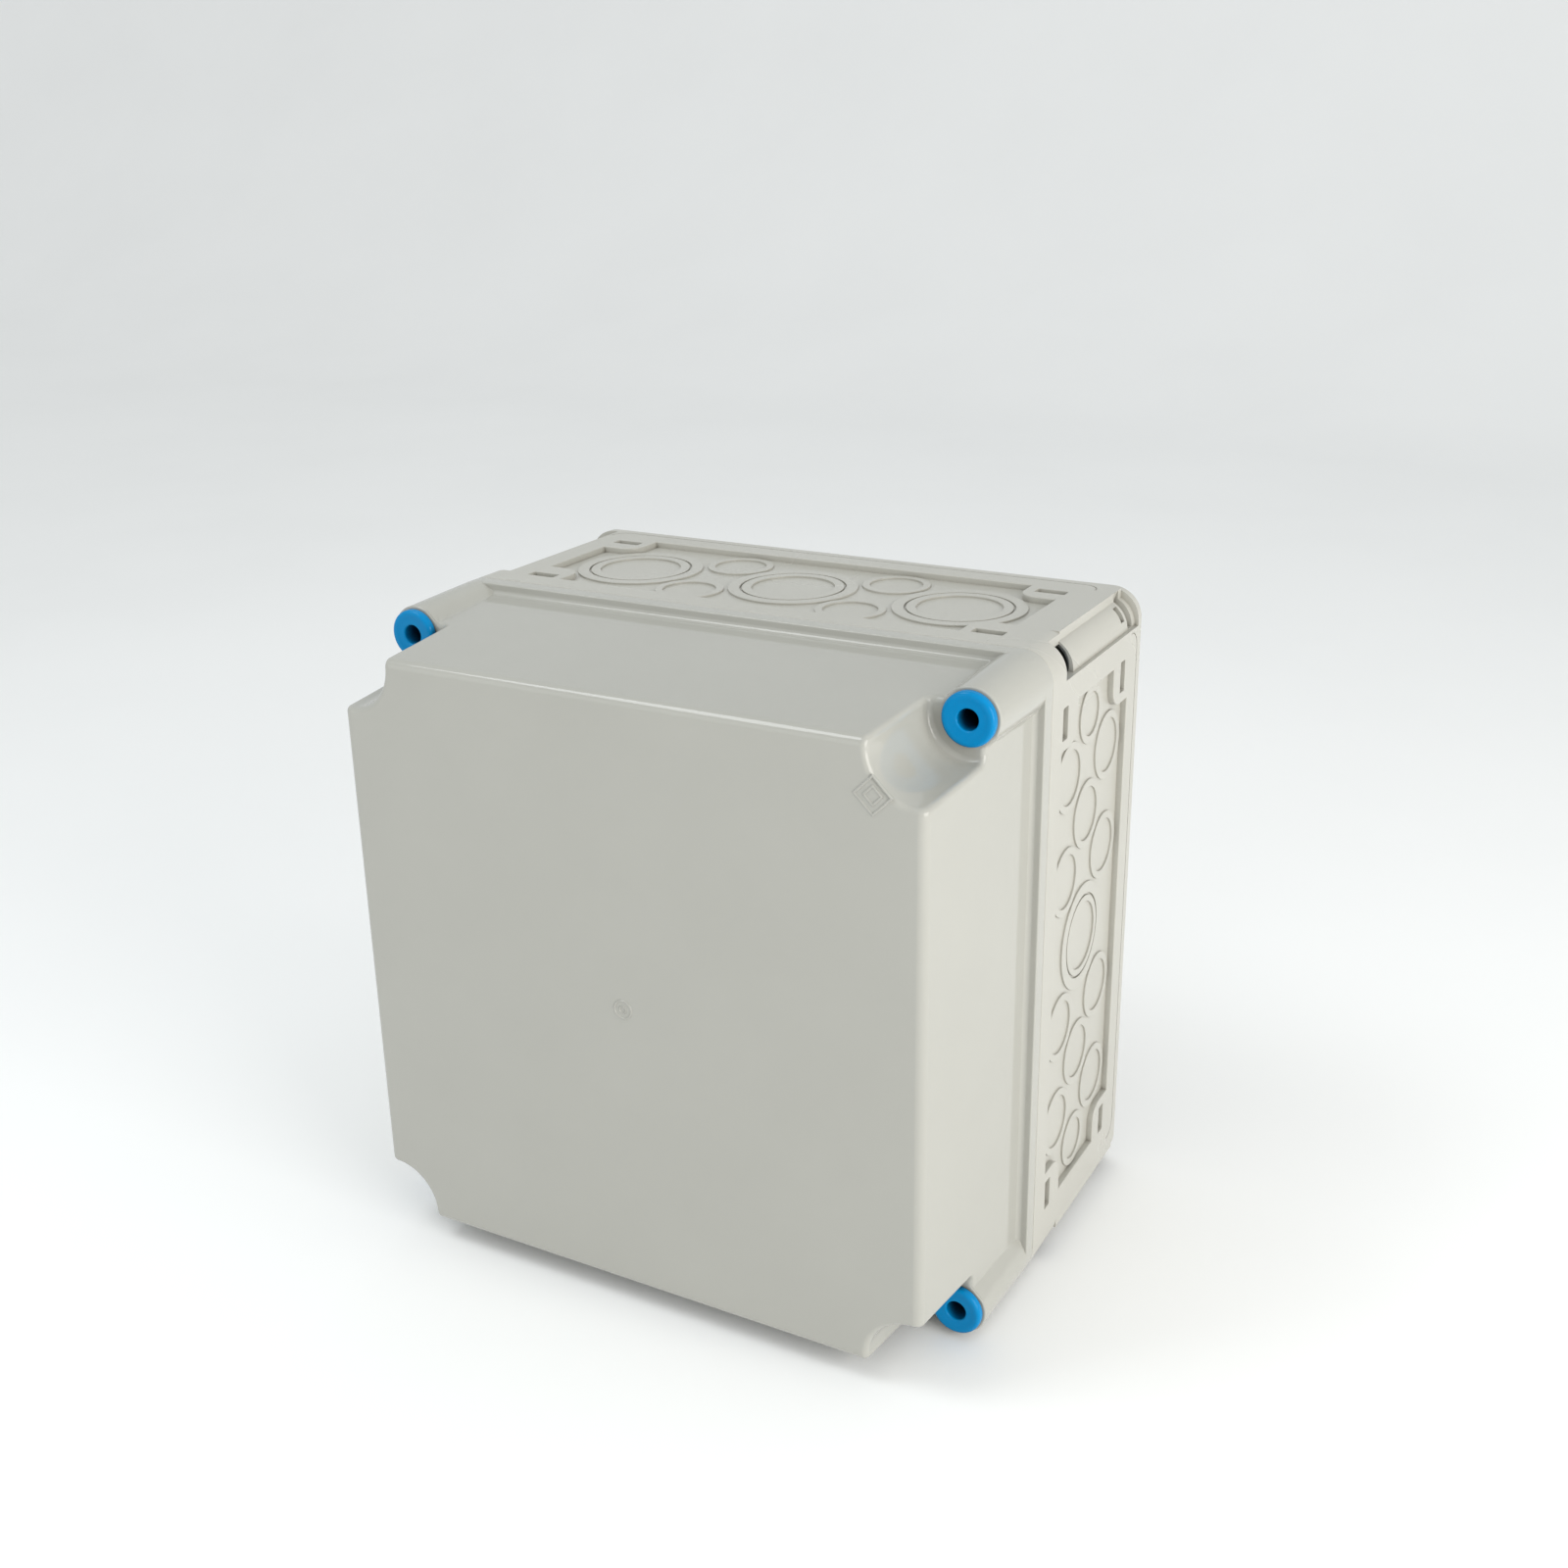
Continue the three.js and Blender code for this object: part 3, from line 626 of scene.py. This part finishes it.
def cap_holes():
    """The four wall fixing holes, which the caps fill from inside."""
    holes = []
    for side in (-1, 1):
        for end in (-1, 1):
            outline = circle(side * CAP_X, end * CAP_Z, CAP_HOLE, 24)
            holes.append(forward_facing(prism(outline, 0.0, BACK_WALL + 1, low_edge=-0.4)))
    return holes


def build_base():
    base = base_tray()
    field = prism(field_outline(), FIELD_FLOOR, HALF, high_edge=-0.5)
    for tools in ([field], slot_tools(), [inset_line_tool()]):
        boolean(base, "DIFFERENCE", combined("tool", all_turns(tools)))
    for tool in corner_tools():
        boolean(base, "DIFFERENCE", combined("tool", all_turns([tool])))
    outline = rounded_rectangle(POCKET_NEAR, POCKET_FAR, POCKET_NEAR, POCKET_FAR, 4, 6)
    pocket = prism(outline, -1.0, POCKET_DEPTH)
    boolean(base, "DIFFERENCE", combined("tool", all_turns([forward_facing(pocket)])))
    rings = [quarter_turned(s, turns) for s in double_row_side() for turns in (0, 2)]
    rings += [quarter_turned(s, turns) for s in triple_row_side() for turns in (1, 3)]
    boolean(base, "UNION", combined("tool", rings))
    post = prism(circle(POST_X, POST_X, POST_RADIUS, 32), BACK_WALL - 0.5, POST_FRONT, high_edge=0.4)
    boolean(base, "UNION", combined("tool", all_turns([forward_facing(post)])))
    bore = prism(circle(POST_X, POST_X, POST_BORE, 20), POST_BORE_BACK, POST_FRONT + 1.3)
    boolean(base, "DIFFERENCE", combined("tool", all_turns([forward_facing(bore)])))
    boolean(base, "DIFFERENCE", combined("tool", cap_holes()))
    shade(base, 30)
    weighted(base)
    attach(base, "base_body")
    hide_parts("base")
    return base


# ---- Cover ----
# A field is negative inside a shape, zero on its surface and positive outside it.
def round_common(a, b, radius):
    """Where two fields overlap, with the outer edge rounded."""
    edge = np.hypot(np.maximum(radius + a, 0), np.maximum(radius + b, 0))
    return np.minimum(-radius, np.maximum(a, b)) + edge


def round_joined(a, b, radius):
    """Two fields joined, with a fillet between them."""
    fillet = np.hypot(np.maximum(radius - a, 0), np.maximum(radius - b, 0))
    return np.maximum(radius, np.minimum(a, b)) - fillet


def rounded_square_field(x, z, half, radius):
    dx, dz = np.abs(x) - (half - radius), np.abs(z) - (half - radius)
    return np.hypot(np.maximum(dx, 0), np.maximum(dz, 0)) + np.minimum(np.maximum(dx, dz), 0) - radius


def wall_half(depth):
    share = (depth - FLANGE_FRONT) / (FRONT - FLANGE_FRONT)
    return COVER_BACK_HALF + (COVER_FRONT_HALF - COVER_BACK_HALF) * share


def notch_radius(depth):
    return NOTCH_BACK + (NOTCH_FRONT - NOTCH_BACK) * (depth - LEDGE) / (FRONT - LEDGE)


def outer_field(x, z, depth):
    """The outside of the cover: tapered box, flange, and a notch and tower at each corner."""
    reach = np.hypot(np.abs(x) - AXIS, np.abs(z) - AXIS)
    body = round_common(np.maximum(np.abs(x), np.abs(z)) - wall_half(depth), depth - FRONT, 4.0)
    flange = round_common(rounded_square_field(x, z, HALF, CORNER), depth - FLANGE_FRONT, 0.7)
    flange = round_common(flange, COVER_BACK - depth, SEAM_EDGE)
    shell = np.maximum(round_joined(body, flange, 2.3), rounded_square_field(x, z, HALF, CORNER))
    notch = round_common(reach - notch_radius(depth), LEDGE - depth, 3.0)
    notched = round_common(shell, -notch, 2.6)
    share = np.clip((depth - FLANGE_FRONT) / (LEDGE - FLANGE_FRONT), 0, 1)
    tower_radius = CORNER + (TOWER_FRONT - CORNER) * share
    tower = round_common(reach - tower_radius, depth - LEDGE, 0.7)
    return np.minimum(notched, tower)


def inner_field(x, z, depth):
    """The hollow of the cover, which keeps clear of the towers and notches."""
    reach = np.hypot(np.abs(x) - AXIS, np.abs(z) - AXIS)
    sleeve = np.where(depth < LEDGE - COVER_WALL, CORNER + 1.5, notch_radius(depth) + COVER_WALL)
    body = np.maximum(np.abs(x), np.abs(z)) - (wall_half(depth) - COVER_WALL)
    hollow = round_common(body, depth - (FRONT - COVER_WALL), 2.5)
    return round_common(hollow, sleeve - reach, 2.0)


def outline_rings(field, angles, depths, low):
    """Points where the field changes sign, found by halving: one ring of angles for each depth."""
    theta, depth = np.meshgrid(angles, depths)
    high, halvings = 215.0, 36
    inside, outside = np.full(theta.shape, low), np.full(theta.shape, high)
    for _ in range(halvings):
        middle = (inside + outside) / 2
        filled = field(middle * np.cos(theta), middle * np.sin(theta), depth) < 0
        inside, outside = np.where(filled, middle, inside), np.where(filled, outside, middle)
    radius = (inside + outside) / 2
    return np.stack([radius * np.cos(theta), -depth, radius * np.sin(theta)], -1)


def cover_angles():
    """Even steps round the box, closed up where the corner towers and notches are."""
    sparse = [0, 8, 16, 23, 29, 33, 35.5, 37]
    dense = list(np.arange(38.0, 45.0, 0.14))
    half = sparse + dense
    quadrant = half + [45.0] + [90 - a for a in reversed(half[1:])]
    return np.radians([turn * 90 + a for turn in range(4) for a in quadrant])


def eased(start, end, count, ease="none"):
    """Steps from start to end, closed up at the end that ease names."""
    t = np.linspace(0, 1, count)
    if ease == "start":
        t = 1 - np.cos(t * math.pi / 2)
    elif ease == "end":
        t = np.sin(t * math.pi / 2)
    return list(start + (end - start) * t)


def outer_depths():
    """Depths of the outer rings, closed up at the seam, flange, ledge and front edge."""
    tiny = 0.002
    levels = eased(COVER_BACK + tiny, COVER_BACK + SEAM_EDGE, 5, "start")
    levels += [COVER_BACK + 4] + eased(FLANGE_FRONT - 0.8, FLANGE_FRONT - tiny, 7, "end")
    levels += eased(FLANGE_FRONT + tiny, FLANGE_FRONT + 2.1, 10, "start")
    levels += [130, 138, 146, 153, 158, 161.5, 163.2]
    levels += eased(LEDGE - 1.2, LEDGE - tiny, 9, "end") + eased(LEDGE + tiny, LEDGE + 3.2, 12, "start")
    levels += [172, 179, 187, 195, 202, 206.5, 208.6]
    levels += eased(FRONT - 4.2, FRONT - tiny, 16, "end")
    return np.array(sorted(set(levels)))


def inner_depths():
    """Depths of the inner rings, closed up behind the ledge and at the front wall."""
    levels = [COVER_BACK, 118, 124, 135, 148, 156, 160]
    levels += eased(LEDGE - COVER_WALL - 0.6, LEDGE - COVER_WALL + 0.6, 6)
    levels += [166, 174, 185, 196, 204]
    levels += eased(FRONT - COVER_WALL - 2.7, FRONT - COVER_WALL - 0.002, 9, "end")
    return np.array(sorted(set(levels)))


def capped(verts, faces, ring, depth, shrink, flip):
    """Closes a ring of indices with smaller and smaller flat rings."""
    count = len(ring)
    edge = np.array([verts[i] for i in ring])
    previous = ring
    for scale in shrink:
        start = len(verts)
        verts += [(x * scale, -depth, z * scale) for x, _, z in edge]
        current = list(range(start, start + count))
        for i in range(count):
            j = (i + 1) % count
            quad = (previous[i], previous[j], current[j], current[i])
            faces.append(quad if flip else quad[::-1])
        previous = current
    faces.append(tuple(previous) if flip else tuple(previous[::-1]))


def cover_shell():
    """The outer and inner surfaces, joined round the back rim and closed at the front."""
    angles = cover_angles()
    count = len(angles)
    outer = outline_rings(outer_field, angles, outer_depths(), 110.0)
    inner = outline_rings(inner_field, angles, inner_depths(), 100.0)
    verts = [tuple(v) for v in outer.reshape(-1, 3)] + [tuple(v) for v in inner.reshape(-1, 3)]
    faces = []

    def band(a, b, flip):
        for i in range(count):
            j = (i + 1) % count
            quad = (a + i, a + j, b + j, b + i)
            faces.append(quad if flip else quad[::-1])

    for level in range(len(outer) - 1):
        band(level * count, (level + 1) * count, False)
    inner_start = len(outer) * count
    for level in range(len(inner) - 1):
        band(inner_start + level * count, inner_start + (level + 1) * count, True)
    band(0, inner_start, True)
    last_outer = list(range(inner_start - count, inner_start))
    inner_end = inner_start + len(inner) * count
    last_inner = list(range(inner_end - count, inner_end))
    shrink = (0.985, 0.96, 0.9, 0.8, 0.65, 0.5, 0.35, 0.2, 0.08)
    capped(verts, faces, last_outer, FRONT, shrink, False)
    capped(verts, faces, last_inner, FRONT - COVER_WALL, (0.9, 0.5, 0.1), True)
    return combined("cover_shell", [(verts, faces)])


def build_cover():
    cover = cover_shell()
    bores = prism(circle(AXIS, AXIS, SHAFT_BORE, 40), COVER_BACK - 1, LEDGE + 1)
    boolean(cover, "DIFFERENCE", combined("tool", all_turns([forward_facing(bores)])))
    seat = prism(circle(AXIS, AXIS, SEAT_RADIUS, 40), LEDGE - SEAT_DEPTH, LEDGE + 1)
    boolean(cover, "DIFFERENCE", combined("tool", all_turns([forward_facing(seat)])))
    boolean(cover, "DIFFERENCE", gasket_groove())
    boolean(cover, "UNION", cover_relief())
    shade(cover, 40)
    weighted(cover)
    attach(cover, "cover_body")
    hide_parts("cover")
    return cover


def gasket_groove():
    """A ring-shaped cutter that follows the gasket, 0.3 mm clear of it."""
    front = -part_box("cover_gasket")[0].y / MM + 0.3
    outer = stepped_square(148.3, 125.9, 0.8)
    inner = stepped_square(144.7, 122.3, 0.8)
    count = len(outer)
    verts = [(x, -depth, z) for depth in (COVER_BACK - 0.5, front) for x, z in outer + inner]
    faces = []
    for i in range(count):
        j = (i + 1) % count
        faces += [
            (i, j, count + j, count + i),
            (2 * count + j, 2 * count + i, 3 * count + i, 3 * count + j),
            (j, i, 2 * count + i, 2 * count + j),
            (count + i, count + j, 3 * count + j, 3 * count + i),
        ]
    return combined("tool", [(verts, faces)])


def ridge(outline, width):
    """A low ridge with sloping shoulders on the front face, inside a closed outline."""
    count = len(outline)
    inner = offset(outline, -width)
    lip = offset(outline, -width * 0.28)
    inner_lip = offset(outline, -width * 0.72)
    low, foot, high = FRONT - 0.4, FRONT + 0.05, FRONT + RELIEF
    rings = [(outline, low), (outline, foot), (lip, high)]
    rings += [(inner_lip, high), (inner, foot), (inner, low)]
    verts = [(x, -depth, z) for ring, depth in rings for x, z in ring]
    faces = []
    for r in range(len(rings)):
        n = (r + 1) % len(rings)
        for i in range(count):
            j = (i + 1) % count
            faces.append((r * count + i, r * count + j, n * count + j, n * count + i))
    return verts, faces


def cover_relief():
    """Two nested diamonds by the upper right notch, and two nested rings at the middle."""
    centre = 117.5
    solids = []
    for reach in (8.6, 4.6):
        near, far = centre - reach, centre + reach
        diamond = [(far, centre), (centre, far), (near, centre), (centre, near)]
        solids.append(ridge(diamond, 1.1))
    solids.append(ridge(circle(0, 0, 4.6, 40), 0.9))
    solids.append(ridge(circle(0, 0, 2.0, 24), 0.8))
    return combined("tool", solids)


# ---- Fasteners ----
SHAFT_RADIUS = 6.1
RING_BORE, RING_BORE_END = 4.5, 110.0
CROSS_REACH, CROSS_HALF_WIDTH, CROSS_START, CROSS_END = 9.2, 2.2, 94.0, 100.0
SLOT_REACH, SLOT_HALF_WIDTH, SLOT_DEPTH = 3.6, 0.8, 3


def fastener_profile():
    """Radius and depth from the tip of the shaft, out round the head and down the bore to its end."""
    edge, rim, sunk = 1.7, 0.8, 0.35
    profile = [(0.0, SHAFT_TIP), (SHAFT_RADIUS - 1, SHAFT_TIP)]
    profile += [(SHAFT_RADIUS - 0.3, SHAFT_TIP + 0.3), (SHAFT_RADIUS, SHAFT_TIP + 1)]
    profile += [(SHAFT_RADIUS, HEAD_BACK - 0.3), (SHAFT_RADIUS + 0.3, HEAD_BACK)]
    profile += [(HEAD_RADIUS - 0.4, HEAD_BACK), (HEAD_RADIUS, HEAD_BACK + 0.4)]
    for i in range(9):
        a = i / 8 * math.pi / 2
        profile.append((HEAD_RADIUS - edge + edge * math.cos(a), HEAD_FRONT - edge + edge * math.sin(a)))
    profile += [(8.4, HEAD_FRONT), (7.9, HEAD_FRONT - 0.3)]
    for i in range(6):
        a = math.pi / 2 - i / 5 * math.pi / 2
        depth = HEAD_FRONT - sunk - rim + rim * math.sin(a)
        profile.append((RING_BORE + rim - rim * math.cos(a), depth))
    return profile + [(RING_BORE, RING_BORE_END), (0.0, RING_BORE_END)]


def build_fastener(corner):
    low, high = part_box(f"fastener_{corner}")
    x, z = (low.x + high.x) / 2 / MM, (low.z + high.z) / 2 / MM
    body = forward_facing(revolved(fastener_profile(), x, z, 72))
    piece = combined(f"ring_fastener_{corner}", [body])
    outline = rectangle(x - CROSS_REACH, x + CROSS_REACH, z - CROSS_HALF_WIDTH, z + CROSS_HALF_WIDTH)
    lug = prism(outline, CROSS_START, CROSS_END, low_edge=0.5, high_edge=0.5)
    boolean(piece, "UNION", combined("tool", [forward_facing(lug)]))
    outline = rectangle(x - SLOT_REACH, x + SLOT_REACH, z - SLOT_HALF_WIDTH, z + SLOT_HALF_WIDTH)
    slot = prism(outline, RING_BORE_END - SLOT_DEPTH, RING_BORE_END + 1)
    boolean(piece, "DIFFERENCE", combined("tool", [forward_facing(slot)]))
    shade(piece, 40)
    weighted(piece)
    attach(piece, f"fastener_body_{corner}")
    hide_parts(f"fastener_{corner}")
    return piece


# ---- Carried-over CAD nodes ----
def soften(obj, width):
    bevel = obj.modifiers.new("soft_edges", "BEVEL")
    bevel.width = width * MM
    bevel.segments = 2
    bevel.limit_method = "ANGLE"
    bevel.angle_limit = math.radians(30)
    bevel.harden_normals = False
    obj.data.shade_smooth()
    weighted(obj)


def finish_inside():
    """Softens and paints the CAD nodes that stay, and returns the fixing caps, to be painted with the base."""
    nodes = frame["nodes"]
    by_slot = {}
    for row in frame["record"]["subparts"]:
        by_slot.setdefault(row["material_slot"], []).append(nodes[row["node"]])
    replaced = {"base", "cover"} | {f"fastener_{corner}" for corner in corners}
    for slot in ("zinc_steel", "screw_steel", "terminal_grey", "terminal_blue", "terminal_green"):
        for obj in by_slot[slot]:
            soften(obj, 0.3 if slot.startswith("terminal") else 0.2)
    for obj in by_slot["seal_rubber"]:
        shade(obj, 40)
    foam_rubber("seal_rubber", by_slot["seal_rubber"])
    zinc_plate("zinc_steel", by_slot["zinc_steel"], 0.34, 8)
    zinc_plate("screw_steel", by_slot["screw_steel"], 0.26, 200)
    colors = {
        "terminal_grey": (0.2, 0.21, 0.23),
        "terminal_blue": (0.03, 0.12, 0.42),
        "terminal_green": (0.08, 0.34, 0.05),
    }
    for slot, color in colors.items():
        # the corners here darken with dust and painted shade, and the bores with painted shade
        moulded_plastic(slot, color, 0.42, 1500, by_slot[slot], corner_dust_and_shade=0.5)
    caps = [obj for obj in by_slot["housing_grey"] if obj.name not in replaced]
    for obj in caps:
        soften(obj, 0.4)
    return caps


add_camera()
add_lights()
add_floor()
base = build_base()
cover = build_cover()
fasteners = [build_fastener(corner) for corner in corners]
caps = finish_inside()
housing_grey, cover_grey, fastener_blue = (0.445, 0.435, 0.393), (0.402, 0.397, 0.362), (0.0, 0.215, 0.49)
# Corner darkening here is dust and painted shade; deep sets the painted shade down the bores.
moulded_plastic("housing_grey", housing_grey, 0.3, 1300, [base] + caps, corner_dust_and_shade=0.5, deep=0.97)
moulded_plastic("cover_grey", cover_grey, 0.06, 160, [cover], corner_dust_and_shade=0.25, relief=0.03)
moulded_plastic(
    "fastener_blue", fastener_blue, 0.14, 500, fasteners,
    corner_dust_and_shade=0.2, deep=1.0, relief=0.05, sheen=0.15, open_end=0.5,
)
